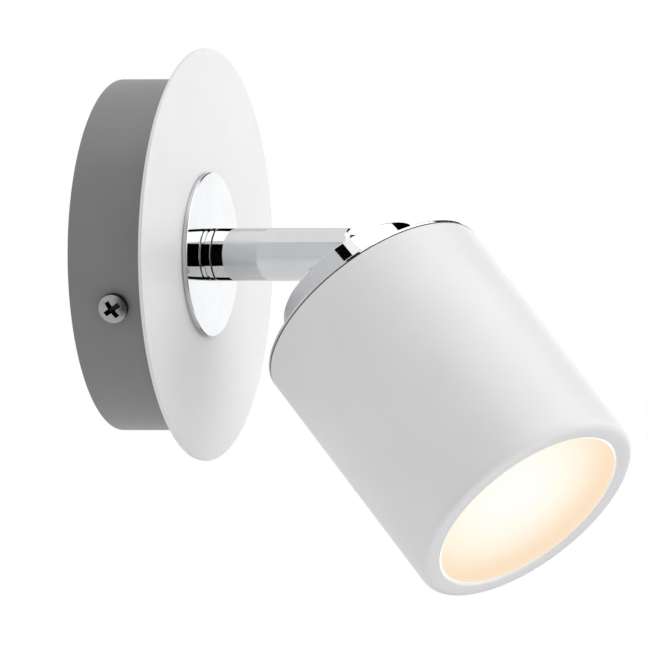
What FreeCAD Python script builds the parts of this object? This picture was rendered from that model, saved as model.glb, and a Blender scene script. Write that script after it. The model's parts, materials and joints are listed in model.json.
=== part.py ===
import FreeCAD, Part
import Sketcher
import math
import os
import re

# Pivoting spotlight wall light. A grey cup stands on the wall over a steel bracket and carries a
# white disc and a chrome rosette. A chrome arm turns in the rosette, and a round shade with a
# chrome cap is hinged in the arm's forked end. The shade holds a pin-base reflector lamp behind
# a satin glass.
#
# The origin is the centre of the base on the wall, +Z is up and the light stands out along -Y.
# Each group of pieces is drawn along its own axis, "out", and is then turned into place:
# the base and the arm from the wall outwards, the head from the hinge towards its opening.

SIZES = {
    # clearances
    "thread_gap": 0.03,           # screw or stud in the hole that it fills
    "running_gap": 0.06,          # round piece that turns in a hole
    "fit_gap": 0.3,               # pieces that pass or face each other
    # wall bracket
    "strap_width": 24.0,
    "strap_thickness": 1.5,
    "ear_width": 12.0,
    "ear_height": 15.0,
    "inlet_radius": 7.0,
    "wall_hole_circle": 60.0,
    "wall_hole_radius": 2.25,
    "bracket_turn": 17.3,         # the line of the side screws, in degrees from level
    # base cup
    "cup_radius": 42.6,
    "cup_depth": 20.4,
    "cup_wall": 1.2,
    "cup_rounding": 0.8,
    # side screws that hold the cup on the bracket
    "side_screw_level": 11.4,
    "side_screw_radius": 2.0,
    "side_screw_length": 8.0,
    "side_head_radius": 3.55,
    "side_head_height": 2.6,
    "recess_span": 4.4,
    "recess_arm": 1.1,
    "recess_floor": 1.0,
    # cover disc, rosette and collar
    "disc_radius": 50.0,
    "disc_thickness": 1.0,
    "disc_rounding": 0.2,
    "rosette_radius": 20.0,
    "rosette_thickness": 1.3,
    "rosette_bevel": 0.2,
    "collar_length": 1.3,
    # arm
    "arm_radius": 6.4,
    "arm_bore": 4.2,
    "arm_bevel": 0.3,
    "pivot_reach": 32.1,          # cover disc to hinge
    "arm_overhang": 4.6,          # hinge to the end of the arm
    # swivel in the base
    "stem_radius": 5.0,
    "stem_bore": 3.2,
    "stem_insert": 10.0,
    "stem_tail": 1.0,
    "fibre_radius": 9.0,
    "fibre_thickness": 0.5,
    "spring_radius": 8.8,
    "spring_thickness": 0.6,
    "stop_radius": 8.5,
    "stop_thickness": 1.0,
    "stop_tab_reach": 12.6,
    "stop_tab_width": 3.0,
    "stop_pin_offset": 11.0,
    "stop_pin_radius": 1.2,
    "nut_flats": 14.0,
    "nut_height": 3.0,
    # arm cable and its bushes
    "cable_radius": 2.4,
    "tail_bush_flange": 4.6,
    "tail_bush_thickness": 1.0,
    "tail_bush_insert": 6.0,
    "fork_bush_length": 5.0,
    # terminal block and leads in the base
    "block_length": 15.0,
    "block_width": 19.0,
    "block_height": 11.0,
    "block_offset": 17.0,
    "pole_pitch": 8.0,
    "pole_level": 5.0,
    "insert_radius": 2.2,
    "insert_bore": 1.5,
    "terminal_screw_radius": 1.3,
    "terminal_screw_length": 4.2,
    "terminal_screw_pitch": 7.0,
    "block_screw_radius": 1.25,
    "block_head_radius": 2.2,
    "block_head_height": 1.6,
    "lead_radius": 1.0,
    "lead_spread": 1.4,
    "lead_bend": 1.6,
    "lead_insert": 2.5,
    # earth connection
    "earth_offset": 20.0,
    "earth_screw_radius": 2.0,
    "earth_head_radius": 3.4,
    "earth_head_height": 2.2,
    "lug_ring_radius": 4.0,
    "lug_plate": 0.8,
    "lug_barrel_length": 4.0,
    "lug_barrel_wall": 0.4,
    # hinge
    "slot_width": 5.0,
    "tongue_thickness": 3.6,
    "tongue_radius": 4.4,
    "pivot_screw_radius": 1.5,
    "pivot_screw_tip": 5.0,
    "pivot_head_radius": 2.6,
    "pivot_head_height": 1.6,
    "pivot_head_depth": 0.5,
    "hinge_washer_radius": 3.6,
    "hinge_washer_thickness": 0.4,
    "foot_radius": 10.0,
    "foot_thickness": 2.0,
    "foot_screw_offset": 6.0,
    "foot_screw_radius": 1.25,
    "foot_screw_bite": 1.6,
    "foot_head_radius": 2.2,
    "foot_head_height": 1.6,
    "wire_radius": 0.7,
    "wire_offset": 2.9,
    "wire_channel": 0.8,
    # cap
    "cap_standoff": 8.4,          # hinge to the top of the cap
    "cap_radius": 20.0,
    "cap_height": 9.45,
    "cap_wall": 1.5,
    "cap_roof": 2.2,
    "cap_bevel": 0.4,
    "boss_radius": 2.4,
    "boss_offset": 16.0,
    # end plate and shade
    "plate_thickness": 1.0,
    "spigot_height": 5.0,
    "spigot_wall": 1.6,
    "ring_cord_radius": 0.9,
    "plate_screw_radius": 1.1,
    "plate_screw_length": 5.0,
    "plate_head_radius": 1.9,
    "plate_head_height": 1.3,
    "shade_radius": 30.3,
    "shade_wall": 1.2,
    "shade_length": 67.7,
    "shade_rounding": 1.0,
    "opening_radius": 25.5,
    "lip_thickness": 1.3,
    # glass and what holds it
    "gasket_thickness": 0.5,
    "gasket_width": 2.0,
    "glass_thickness": 2.5,
    "glass_recess": 0.4,
    "clip_thickness": 0.8,
    "clip_width": 2.0,
    # lamp holder
    "holder_radius": 12.4,
    "holder_height": 18.0,
    "holder_recess_radius": 9.0,
    "holder_recess": 2.6,
    "holder_plate_thickness": 1.0,
    "holder_screw_offset": 9.6,
    "holder_screw_radius": 1.4,
    "holder_head_radius": 2.4,
    "holder_head_height": 1.8,
    "pin_offset": 5.0,
    "pin_hole_radius": 2.9,
    "pin_hole_depth": 9.0,
    "contact_wall": 0.4,
    "contact_length": 6.0,
    # lamp
    "lamp_gap": 4.15,
    "lamp_radius": 25.0,
    "lamp_rim": 6.0,
    "lamp_neck_radius": 12.0,
    "lamp_neck": 9.0,
    "lamp_wall": 1.3,
    "lamp_pin_radius": 1.5,
    "lamp_pin_head_radius": 2.4,
    "lamp_pin_head": 2.0,
    "lamp_pin_length": 7.0,
    "board_level": 14.0,
    "board_thickness": 1.6,
    "board_radius": 11.0,
    "chip_radius": 6.0,
    "chip_height": 1.0,
    "reflector_wall": 0.8,
    "lens_thickness": 2.0,
    # how the light is set at rest, in degrees
    "swivel_angle": 18.9,         # the head's side of straight down, towards -X
    "tilt_angle": 49.2,           # from straight out to the head's axis
}

# Levels that follow from the sizes, each as a formula.
LEVELS = {
    "ear_reach": "sqrt((cup_radius - cup_wall - fit_gap)^2 - (ear_width / 2)^2)",
    "cup_face": "cup_depth - cup_wall",
    "disc_front": "cup_depth + disc_thickness",
    "rosette_front": "disc_front + rosette_thickness",
    "collar_front": "rosette_front + collar_length",
    "arm_start": "collar_front + fit_gap",
    "pivot_level": "disc_front + pivot_reach",
    "arm_end": "pivot_level + arm_overhang",
    "slot_floor": "pivot_level - tongue_radius - 2 * fit_gap",
    "stem_end": "arm_start + stem_insert",
    "fibre_back": "cup_face - fibre_thickness",
    "spring_back": "fibre_back - fit_gap - spring_thickness",
    "stop_back": "spring_back - stop_thickness",
    "nut_back": "stop_back - nut_height",
    "stem_start": "nut_back - stem_tail",
    "bush_back": "stem_start - tail_bush_thickness",
    "cable_start": "bush_back - fit_gap",
    "cable_end": "slot_floor - fit_gap",
    "wire_level": "strap_thickness + pole_level",
    "barrel_radius": "lead_radius + thread_gap + lug_barrel_wall",
    "barrel_start": "earth_head_radius + 2 * fit_gap - earth_offset",
    "barrel_level": "strap_thickness + barrel_radius",
    "cap_ceiling": "cap_standoff + cap_roof",
    "foot_back": "cap_ceiling + foot_thickness",
    "holder_top": "foot_back + holder_plate_thickness",
    "holder_face": "holder_top + holder_height",
    "recess_floor": "holder_top + holder_recess",
    "cap_rim": "cap_standoff + cap_height",
    "plate_back": "cap_rim + plate_thickness",
    "shade_end": "plate_back + shade_length",
    "lip_back": "shade_end - lip_thickness",
    "shade_bore": "shade_radius - shade_wall",
    "glass_front": "lip_back - gasket_thickness",
    "glass_back": "glass_front - glass_thickness",
    "lamp_front": "glass_back - lamp_gap",
}

DOME_SHARE = 0.55                 # how much of a pan head's height is its dome

OUT = FreeCAD.Vector(0, 0, 1)
ACROSS = FreeCAD.Vector(1, 0, 0)
UP = FreeCAD.Vector(0, 1, 0)
TURNS = {
    "out": FreeCAD.Rotation(),
    "back": FreeCAD.Rotation(ACROSS, 180),
    "right": FreeCAD.Rotation(UP, 90),
    "left": FreeCAD.Rotation(UP, -90),
    "up": FreeCAD.Rotation(ACROSS, -90),
    "down": FreeCAD.Rotation(ACROSS, 90),
}

doc = FreeCAD.newDocument("wall_spotlight")
pieces = []


# ---------------------------------------------------------------- sheets and formulas

def make_sheet(name, cells):
    """A sheet with one named cell for each entry."""
    sheet = doc.addObject("Spreadsheet::Sheet", name)
    for row, (alias, content) in enumerate(cells.items(), start=1):
        sheet.set(f"A{row}", alias)
        sheet.set(f"B{row}", str(content))
        sheet.setAlias(f"B{row}", alias)
    return sheet


def formula(text):
    """The same formula with each name pointed at its cell."""
    def point(match):
        word = match.group()
        if word in SIZES:
            return f"sizes.{word}"
        if word in LEVELS:
            return f"levels.{word}"
        return word
    return re.sub(r"[a-z_]+", point, text)


sizes = make_sheet("sizes", SIZES)
levels = make_sheet("levels", {name: "=" + formula(text) for name, text in LEVELS.items()})
doc.recompute()


def bind(thing, name, text):
    thing.setExpression(name, formula(text))


# ---------------------------------------------------------------- solids

def seat(thing, across="0", up="0", out="0", facing="out"):
    """Turn a solid to face one way and bind its place."""
    thing.Placement = FreeCAD.Placement(FreeCAD.Vector(), TURNS[facing])
    for axis, text in (("x", across), ("y", up), ("z", out)):
        if text != "0":
            bind(thing, f"Placement.Base.{axis}", text)
    return thing


def cylinder(radius, length, across="0", up="0", out="0", facing="out"):
    solid = doc.addObject("Part::Cylinder", "cylinder")
    bind(solid, "Radius", radius)
    bind(solid, "Height", length)
    return seat(solid, across, up, out, facing)


def block(length, width, height, across="0", up="0", out="0"):
    """A box centred across and up, standing on the level out."""
    solid = doc.addObject("Part::Box", "block")
    bind(solid, "Length", length)
    bind(solid, "Width", width)
    bind(solid, "Height", height)
    return seat(solid, f"{across} - ({length}) / 2", f"{up} - ({width}) / 2", out)


def hexagon(flats, height, out="0"):
    solid = doc.addObject("Part::Prism", "hexagon")
    solid.Polygon = 6
    bind(solid, "Circumradius", f"{flats} / sqrt(3)")
    bind(solid, "Height", height)
    return seat(solid, out=out)


def fuse(*solids):
    joined = doc.addObject("Part::MultiFuse", "joined")
    joined.Shapes = list(solids)
    joined.Refine = True
    return joined


def common(first, second):
    shared = doc.addObject("Part::Common", "shared")
    shared.Base = first
    shared.Tool = second
    return shared


def cut(solid, *tools):
    remainder = doc.addObject("Part::Cut", "cut")
    remainder.Base = solid
    remainder.Tool = tools[0] if len(tools) == 1 else fuse(*tools)
    return remainder


def group(solids):
    together = doc.addObject("Part::Compound", "group")
    together.Links = list(solids)
    return together


def turned(profile, edge_rounding=None, edge_radius=None, edge_level=None):
    """A body turned round its axis from a half section of (radius, level) corners.

    The circle edge at edge_radius and edge_level, where given, is rounded."""
    body = doc.addObject("PartDesign::Body", "turned")
    plane = next(item for item in body.Origin.OriginFeatures if item.Role == "XZ_Plane")
    sketch = body.newObject("Sketcher::SketchObject", "half_section")
    sketch.AttachmentSupport = [(plane, "")]
    sketch.MapMode = "FlatFace"
    count = len(profile)
    step = 2 * math.pi / count
    rough = [FreeCAD.Vector(2 + math.cos(k * step), 2 + math.sin(k * step), 0) for k in range(count)]
    for k in range(count):
        sketch.addGeometry(Part.LineSegment(rough[k], rough[(k + 1) % count]), False)
    for k in range(count):
        sketch.addConstraint(Sketcher.Constraint("Coincident", k, 2, (k + 1) % count, 1))
    for k, corner in enumerate(profile):
        measures = (("DistanceX", corner[0], -2, rough[k].x), ("DistanceY", corner[1], -1, rough[k].y))
        for kind, text, zero_line, start in measures:
            if text == "0":
                sketch.addConstraint(Sketcher.Constraint("PointOnObject", k, 1, zero_line))
            else:
                number = sketch.addConstraint(Sketcher.Constraint(kind, -1, 1, k, 1, start))
                bind(sketch, f"Constraints[{number}]", text)
    revolution = body.newObject("PartDesign::Revolution", "revolution")
    revolution.Profile = sketch
    revolution.ReferenceAxis = (sketch, ["V_Axis"])
    revolution.Angle = 360
    if edge_rounding:
        doc.recompute()
        radius = levels.get(edge_radius) if edge_radius in LEVELS else sizes.get(edge_radius)
        level = levels.get(edge_level) if edge_level in LEVELS else sizes.get(edge_level)
        names = [
            f"Edge{number}"
            for number, edge in enumerate(revolution.Shape.Edges, start=1)
            if isinstance(edge.Curve, Part.Circle)
            and abs(edge.Curve.Radius - radius) < 1e-6
            and abs(edge.Curve.Center.z - level) < 1e-6
        ]
        rounding = body.newObject("PartDesign::Fillet", "rounding")
        rounding.Base = (revolution, names)
        bind(rounding, "Radius", edge_rounding)
        body.Tip = rounding
    return body


def ring(outer, inner, low, high):
    """A flat ring or tube between two levels."""
    return turned([(inner, low), (outer, low), (outer, high), (inner, high)])


def pan_screw(head_radius, head_height, shank_radius, shank_length):
    """A screw with a domed head on the level 0 and its shank below it."""
    rise = f"({head_height}) * {DOME_SHARE}"
    dome = f"(({head_radius})^2 + ({rise})^2) / (2 * ({rise}))"
    ball = doc.addObject("Part::Sphere", "dome")
    bind(ball, "Radius", dome)
    seat(ball, out=f"{head_height} - ({dome})")
    head = common(cylinder(head_radius, head_height), ball)
    return fuse(head, cylinder(shank_radius, shank_length, out=f"-({shank_length})"))


def finish(label, solid, frame):
    """Name a sub-part, put it in its group's frame and keep it."""
    solid.Label = label
    solid.Placement = frame
    pieces.append(solid)


# ---------------------------------------------------------------- frames of the groups

def turn(axis, angle):
    return FreeCAD.Placement(FreeCAD.Vector(), FreeCAD.Rotation(axis, angle))


WALL = turn(ACROSS, 90)
BRACKET = WALL * turn(OUT, sizes.bracket_turn)
ARM = WALL * turn(OUT, -sizes.swivel_angle)
HINGE = ARM * FreeCAD.Placement(OUT * levels.pivot_level, FreeCAD.Rotation())
HEAD = HINGE * turn(ACROSS, sizes.tilt_angle)


# ---------------------------------------------------------------- base

def make_bracket():
    """Steel strap against the wall with an ear bent out at each end."""
    outline = cylinder("cup_radius - cup_wall - fit_gap", "strap_thickness")
    solids = [common(block("2 * ear_reach", "strap_width", "strap_thickness"), outline)]
    holes = [cylinder("inlet_radius", "strap_thickness")]
    for side, facing in (("-1", "left"), ("1", "right")):
        middle = f"{side} * (ear_reach - strap_thickness / 2)"
        solids.append(block("strap_thickness", "ear_width", "ear_height", across=middle))
        holes.append(cylinder("wall_hole_radius", "strap_thickness",
                              across=f"{side} * wall_hole_circle / 2"))
        holes.append(cylinder("side_screw_radius + thread_gap", "ear_reach",
                              out="side_screw_level", facing=facing))
    holes.append(cylinder("earth_screw_radius + thread_gap", "strap_thickness",
                          across="-earth_offset"))
    holes.append(cylinder("block_screw_radius + thread_gap", "strap_thickness",
                          across="block_offset"))
    finish("wall_bracket", cut(fuse(*solids), *holes), BRACKET)


def make_cup():
    """Grey cup, open to the wall, with a hole for the swivel stem and two for its screws."""
    shell = turned([
        ("stem_radius + running_gap", "cup_depth"), ("cup_radius", "cup_depth"),
        ("cup_radius", "0"), ("cup_radius - cup_wall", "0"),
        ("cup_radius - cup_wall", "cup_face"), ("stem_radius + running_gap", "cup_face"),
    ], "cup_rounding", "cup_radius", "cup_depth")
    holes = [
        cylinder("side_screw_radius + fit_gap", "cup_radius + cup_wall", out="side_screw_level",
                 facing=facing)
        for facing in ("left", "right")
    ]
    finish("base_cup", cut(shell, *holes), BRACKET)


def make_side_screws():
    """Two cross-recess screws through the cup into the bracket's ears."""
    screws = []
    for side, facing in (("-1", "left"), ("1", "right")):
        whole = pan_screw("side_head_radius", "side_head_height", "side_screw_radius",
                          "side_screw_length")
        screw = cut(
            whole,
            block("recess_span", "recess_arm", "side_head_height", out="recess_floor"),
            block("recess_arm", "recess_span", "side_head_height", out="recess_floor"),
        )
        seat(screw, across=f"{side} * cup_radius", out="side_screw_level", facing=facing)
        screws.append(screw)
    finish("side_screws", group(screws), BRACKET)


def make_front_discs():
    """White cover disc, chrome rosette and the fixed collar in front of it."""
    bore = "stem_radius + running_gap"
    finish("cover_disc", turned([
        (bore, "cup_depth"), ("disc_radius - disc_rounding", "cup_depth"),
        ("disc_radius", "cup_depth + disc_rounding"), ("disc_radius", "disc_front - disc_rounding"),
        ("disc_radius - disc_rounding", "disc_front"), (bore, "disc_front"),
    ]), WALL)
    finish("rosette", turned([
        (bore, "disc_front"), ("rosette_radius", "disc_front"),
        ("rosette_radius", "rosette_front - rosette_bevel"),
        ("rosette_radius - rosette_bevel", "rosette_front"), (bore, "rosette_front"),
    ]), WALL)
    finish("swivel_collar", turned([
        (bore, "rosette_front"), ("arm_radius", "rosette_front"),
        ("arm_radius", "collar_front - arm_bevel / 2"),
        ("arm_radius - arm_bevel / 2", "collar_front"), (bore, "collar_front"),
    ]), WALL)
    finish("fibre_washer", ring("fibre_radius", bore, "fibre_back", "cup_face"), WALL)


def make_stop_pin():
    """Pin behind the cup's face that ends the arm's turn."""
    reach = "cup_face - stop_back + fit_gap"
    pin = cylinder("stop_pin_radius", reach, up="-stop_pin_offset", out="stop_back - fit_gap")
    finish("stop_pin", group([pin]), WALL)


def make_terminal_block():
    """Two-pole block on the strap, its brass inserts and their screws."""
    poles = ("-1", "1")
    rows = ("-1", "1")
    top = "strap_thickness + block_height"
    near = "block_offset - block_length / 2"
    bores = []
    inserts = []
    screws = []
    for pole in poles:
        middle = f"{pole} * pole_pitch / 2"
        bores.append(cylinder("insert_radius + thread_gap", "block_length",
                              across=near, up=middle, out="wire_level", facing="right"))
        tube = cut(
            cylinder("insert_radius", "block_length", across=near, up=middle,
                     out="wire_level", facing="right"),
            cylinder("insert_bore", "block_length", across=near, up=middle,
                     out="wire_level", facing="right"),
        )
        taps = []
        for row in rows:
            place = f"block_offset + {row} * terminal_screw_pitch / 2"
            bores.append(cylinder("terminal_screw_radius + fit_gap", "block_height - pole_level",
                                  across=place, up=middle, out="wire_level"))
            taps.append(cylinder("terminal_screw_radius + thread_gap", "insert_radius",
                                 across=place, up=middle, out="wire_level"))
            screws.append(cylinder("terminal_screw_radius", "terminal_screw_length",
                                   across=place, up=middle,
                                   out="wire_level + insert_bore - fit_gap"))
        inserts.append(cut(tube, *taps))
    bores.append(cylinder("block_screw_radius + thread_gap", "block_height",
                          across="block_offset", out="strap_thickness"))
    bores.append(cylinder("block_head_radius + fit_gap", "block_head_height + fit_gap",
                          across="block_offset", out=f"{top} - block_head_height - fit_gap"))
    body = block("block_length", "block_width", "block_height",
                 across="block_offset", out="strap_thickness")
    finish("terminal_block", cut(body, *bores), BRACKET)
    finish("terminal_inserts", group(inserts), BRACKET)
    finish("terminal_screws", group(screws), BRACKET)
    fixing = pan_screw("block_head_radius", "block_head_height", "block_screw_radius",
                       "block_height - block_head_height - fit_gap + strap_thickness / 2")
    seat(fixing, across="block_offset", out=f"{top} - block_head_height - fit_gap")
    finish("block_screw", group([fixing]), BRACKET)


def make_earth():
    """Ring lug for the earth core, held on the strap by its own screw."""
    plate = cylinder("lug_ring_radius", "lug_plate", across="-earth_offset", out="strap_thickness")
    neck = block("2 * (barrel_start + earth_offset + lug_plate)", "2 * barrel_radius",
                 "lug_plate", across="-earth_offset", out="strap_thickness")
    opposite = block("2 * lug_ring_radius", "2 * lug_ring_radius", "lug_plate",
                     across="-earth_offset - lug_ring_radius", out="strap_thickness")
    barrel = cylinder("barrel_radius", "lug_barrel_length", across="barrel_start",
                      out="barrel_level", facing="right")
    bore = cylinder("lead_radius + thread_gap", "lug_barrel_length", across="barrel_start",
                    out="barrel_level", facing="right")
    hole = cylinder("earth_screw_radius + thread_gap", "lug_plate",
                    across="-earth_offset", out="strap_thickness")
    ring_and_neck = fuse(plate, cut(neck, opposite), barrel)
    finish("earth_lug", cut(ring_and_neck, bore, hole), BRACKET)
    screw = pan_screw("earth_head_radius", "earth_head_height", "earth_screw_radius",
                      "lug_plate + strap_thickness - thread_gap")
    seat(screw, across="-earth_offset", out="strap_thickness + lug_plate")
    finish("earth_screw", group([screw]), BRACKET)


def lead(points):
    """A core of the base's wiring along straight runs joined by tangent arcs."""
    bend = sizes.lead_bend
    edges = []
    start = points[0]
    for before, corner, after in zip(points, points[1:], points[2:]):
        back = (before - corner).normalize()
        ahead = (after - corner).normalize()
        half = back.getAngle(ahead) / 2
        run = bend / math.tan(half)
        first = corner + back * run
        last = corner + ahead * run
        middle_way = (back + ahead).normalize()
        middle = corner + middle_way * (bend / math.sin(half) - bend)
        edges.append(Part.LineSegment(start, first).toShape())
        edges.append(Part.Arc(first, middle, last).toShape())
        start = last
    edges.append(Part.LineSegment(start, points[-1]).toShape())
    path = Part.Wire(edges)
    direction = (points[1] - points[0]).normalize()
    section = Part.Wire(Part.Circle(points[0], direction, sizes.lead_radius).toShape())
    return path.makePipeShell([section], True, False)


def make_base_leads():
    """Two cores from the arm's cable to the terminal block and one to the earth lug."""
    radius = sizes.lead_radius
    start = levels.cable_start - sizes.fit_gap
    level = levels.wire_level
    mouth = sizes.block_offset - sizes.block_length / 2
    cores = []
    for side in (-1, 1):
        near = side * sizes.lead_spread
        pole = side * sizes.pole_pitch / 2
        cores.append(lead([
            FreeCAD.Vector(radius, near, start),
            FreeCAD.Vector(radius, near, level),
            FreeCAD.Vector(mouth - 2 * radius, pole, level),
            FreeCAD.Vector(mouth + sizes.lead_insert, pole, level),
        ]))
    supply = doc.addObject("Part::Feature", "supply_leads")
    supply.Shape = Part.makeCompound(cores)
    finish("supply_leads", supply, BRACKET)

    aside = -radius - sizes.fit_gap
    barrel_mouth = levels.barrel_start + sizes.lug_barrel_length
    earth = doc.addObject("Part::Feature", "earth_lead")
    earth.Shape = lead([
        FreeCAD.Vector(aside, 0, start),
        FreeCAD.Vector(aside, 0, level),
        FreeCAD.Vector(-sizes.inlet_radius, 0, level),
        FreeCAD.Vector(barrel_mouth + radius, 0, levels.barrel_level),
        FreeCAD.Vector(barrel_mouth - sizes.lug_barrel_length / 2, 0, levels.barrel_level),
    ])
    finish("earth_lead", earth, BRACKET)


# ---------------------------------------------------------------- arm

def make_arm():
    """Chrome arm: threaded behind, bored for its cable and forked at the hinge."""
    bore = "stem_radius + thread_gap"
    tube = turned([
        (bore, "arm_start"), ("arm_radius - arm_bevel / 2", "arm_start"),
        ("arm_radius", "arm_start + arm_bevel / 2"), ("arm_radius", "arm_end - arm_bevel"),
        ("arm_radius - arm_bevel", "arm_end"), ("arm_bore", "arm_end"),
        ("arm_bore", "stem_end + fit_gap"), (bore, "stem_end + fit_gap"),
    ])
    cheeks = block("2 * arm_bore", "2 * arm_bore", "arm_end - slot_floor", out="slot_floor")
    plug = common(cheeks, cylinder("arm_bore", "arm_end - slot_floor", out="slot_floor"))
    slot = block("slot_width", "3 * arm_radius", "arm_end", out="slot_floor")
    head_seat = "arm_radius - pivot_head_depth - pivot_head_height"
    tools = [
        slot,
        cylinder("pivot_screw_radius + thread_gap", "pivot_screw_tip + thread_gap + arm_radius",
                 across="-pivot_screw_tip - thread_gap", out="pivot_level", facing="right"),
        cylinder("pivot_head_radius + thread_gap", "arm_radius", across=head_seat,
                 out="pivot_level", facing="right"),
    ]
    finish("arm", cut(fuse(tube, plug), *tools), ARM)


def make_swivel():
    """Hollow stem through the base, with the washers and nut that hold it."""
    finish("swivel_stem", ring("stem_radius", "stem_bore", "stem_start", "stem_end"), ARM)
    bore = "stem_radius + thread_gap"
    finish("spring_washer",
           ring("spring_radius", bore, "spring_back", "spring_back + spring_thickness"), ARM)
    tab = block("stop_tab_width", "stop_tab_reach", "stop_thickness",
                up="stop_tab_reach / 2", out="stop_back")
    disc = cylinder("stop_radius", "stop_thickness", out="stop_back")
    hole = cylinder(bore, "stop_thickness", out="stop_back")
    finish("stop_washer", cut(fuse(disc, tab), hole), ARM)
    nut = cut(hexagon("nut_flats", "nut_height", out="nut_back"),
              cylinder(bore, "nut_height", out="nut_back"))
    finish("lock_nut", nut, ARM)


def make_arm_cable():
    """Sheathed cable on the arm's axis, and the two bushes that guide it."""
    finish("arm_cable", group([
        cylinder("cable_radius", "cable_end - cable_start", out="cable_start"),
    ]), ARM)
    hole = "cable_radius + thread_gap"
    finish("tail_bush", turned([
        (hole, "bush_back"), ("tail_bush_flange", "bush_back"), ("tail_bush_flange", "stem_start"),
        ("stem_bore - thread_gap", "stem_start"),
        ("stem_bore - thread_gap", "stem_start + tail_bush_insert"),
        (hole, "stem_start + tail_bush_insert"),
    ]), ARM)
    finish("fork_bush", ring("arm_bore - thread_gap", hole,
                             "cable_end - fork_bush_length", "cable_end"), ARM)


def make_pivot():
    """Hinge screw across the fork and the two friction washers on it."""
    head_seat = "arm_radius - pivot_head_depth - pivot_head_height"
    head = cylinder("pivot_head_radius", "pivot_head_height", across=head_seat, facing="right")
    shank = cylinder("pivot_screw_radius", f"{head_seat} + pivot_screw_tip",
                     across="-pivot_screw_tip", facing="right")
    groove = block("pivot_head_height", "2 * pivot_head_radius", "pivot_screw_radius / 2",
                   across="arm_radius - pivot_head_depth", out="-pivot_screw_radius / 4")
    finish("pivot_screw", cut(fuse(head, shank), groove), HINGE)
    washers = []
    for side, facing in (("-1", "right"), ("1", "left")):
        face = f"{side} * slot_width / 2"
        washers.append(cut(
            cylinder("hinge_washer_radius", "hinge_washer_thickness", across=face, facing=facing),
            cylinder("pivot_screw_radius + thread_gap", "hinge_washer_thickness",
                     across=face, facing=facing),
        ))
    finish("hinge_washers", group(washers), HINGE)


# ---------------------------------------------------------------- head

def wire_pair(radius, low, high):
    """Two round channels or wires either side of the hinge screw."""
    return [
        cylinder(radius, f"{high} - ({low})", up=f"{side} * wire_offset", out=low)
        for side in ("-1", "1")
    ]


def make_hinge_tongue():
    """Tongue with its eye in the fork and its foot under the cap's roof."""
    eye = cylinder("tongue_radius", "tongue_thickness", across="-tongue_thickness / 2",
                   facing="right")
    web = block("tongue_thickness", "2 * tongue_radius", "foot_back")
    foot = cylinder("foot_radius", "foot_thickness", out="cap_ceiling")
    tools = [
        cylinder("pivot_screw_radius + running_gap", "tongue_thickness",
                 across="-tongue_thickness / 2", facing="right"),
    ]
    tools += wire_pair("wire_channel", "-tongue_radius", "foot_back")
    tools += [
        cylinder("foot_screw_radius + thread_gap", "foot_thickness",
                 across=f"{side} * foot_screw_offset", out="cap_ceiling")
        for side in ("-1", "1")
    ]
    finish("hinge_tongue", cut(fuse(eye, web, foot), *tools), HEAD)


def make_foot_screws():
    """Two screws up through the holder plate and the tongue's foot into the cap."""
    screws = []
    for side in ("-1", "1"):
        screw = pan_screw("foot_head_radius", "foot_head_height", "foot_screw_radius",
                          "holder_plate_thickness + foot_thickness + foot_screw_bite")
        screws.append(seat(screw, across=f"{side} * foot_screw_offset", out="holder_top"))
    finish("foot_screws", group(screws), HEAD)


def make_cap():
    """Chrome cap with a slot for the tongue and two bosses for the end plate's screws."""
    shell = turned([
        ("0", "cap_standoff"), ("cap_radius - cap_bevel", "cap_standoff"),
        ("cap_radius", "cap_standoff + cap_bevel"), ("cap_radius", "cap_rim"),
        ("cap_radius - cap_wall", "cap_rim"), ("cap_radius - cap_wall", "cap_ceiling"),
        ("0", "cap_ceiling"),
    ])
    bosses = [
        common(
            cylinder("boss_radius", "cap_rim - cap_standoff - cap_bevel",
                     up=f"{side} * boss_offset", out="cap_standoff + cap_bevel"),
            cylinder("cap_radius - cap_wall / 2", "cap_height", out="cap_standoff"),
        )
        for side in ("-1", "1")
    ]
    tools = [
        block("tongue_thickness + 2 * thread_gap", "2 * (tongue_radius + thread_gap)",
              "cap_roof", out="cap_standoff"),
    ]
    for side in ("-1", "1"):
        tools.append(cylinder("foot_screw_radius + thread_gap", "foot_screw_bite + thread_gap",
                              across=f"{side} * foot_screw_offset",
                              out="cap_ceiling - foot_screw_bite - thread_gap"))
        tools.append(cylinder("plate_screw_radius + thread_gap",
                              "plate_screw_length - plate_thickness + thread_gap",
                              up=f"{side} * boss_offset",
                              out="plate_back - plate_screw_length - thread_gap"))
    finish("cap", cut(fuse(shell, *bosses), *tools), HEAD)


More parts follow.
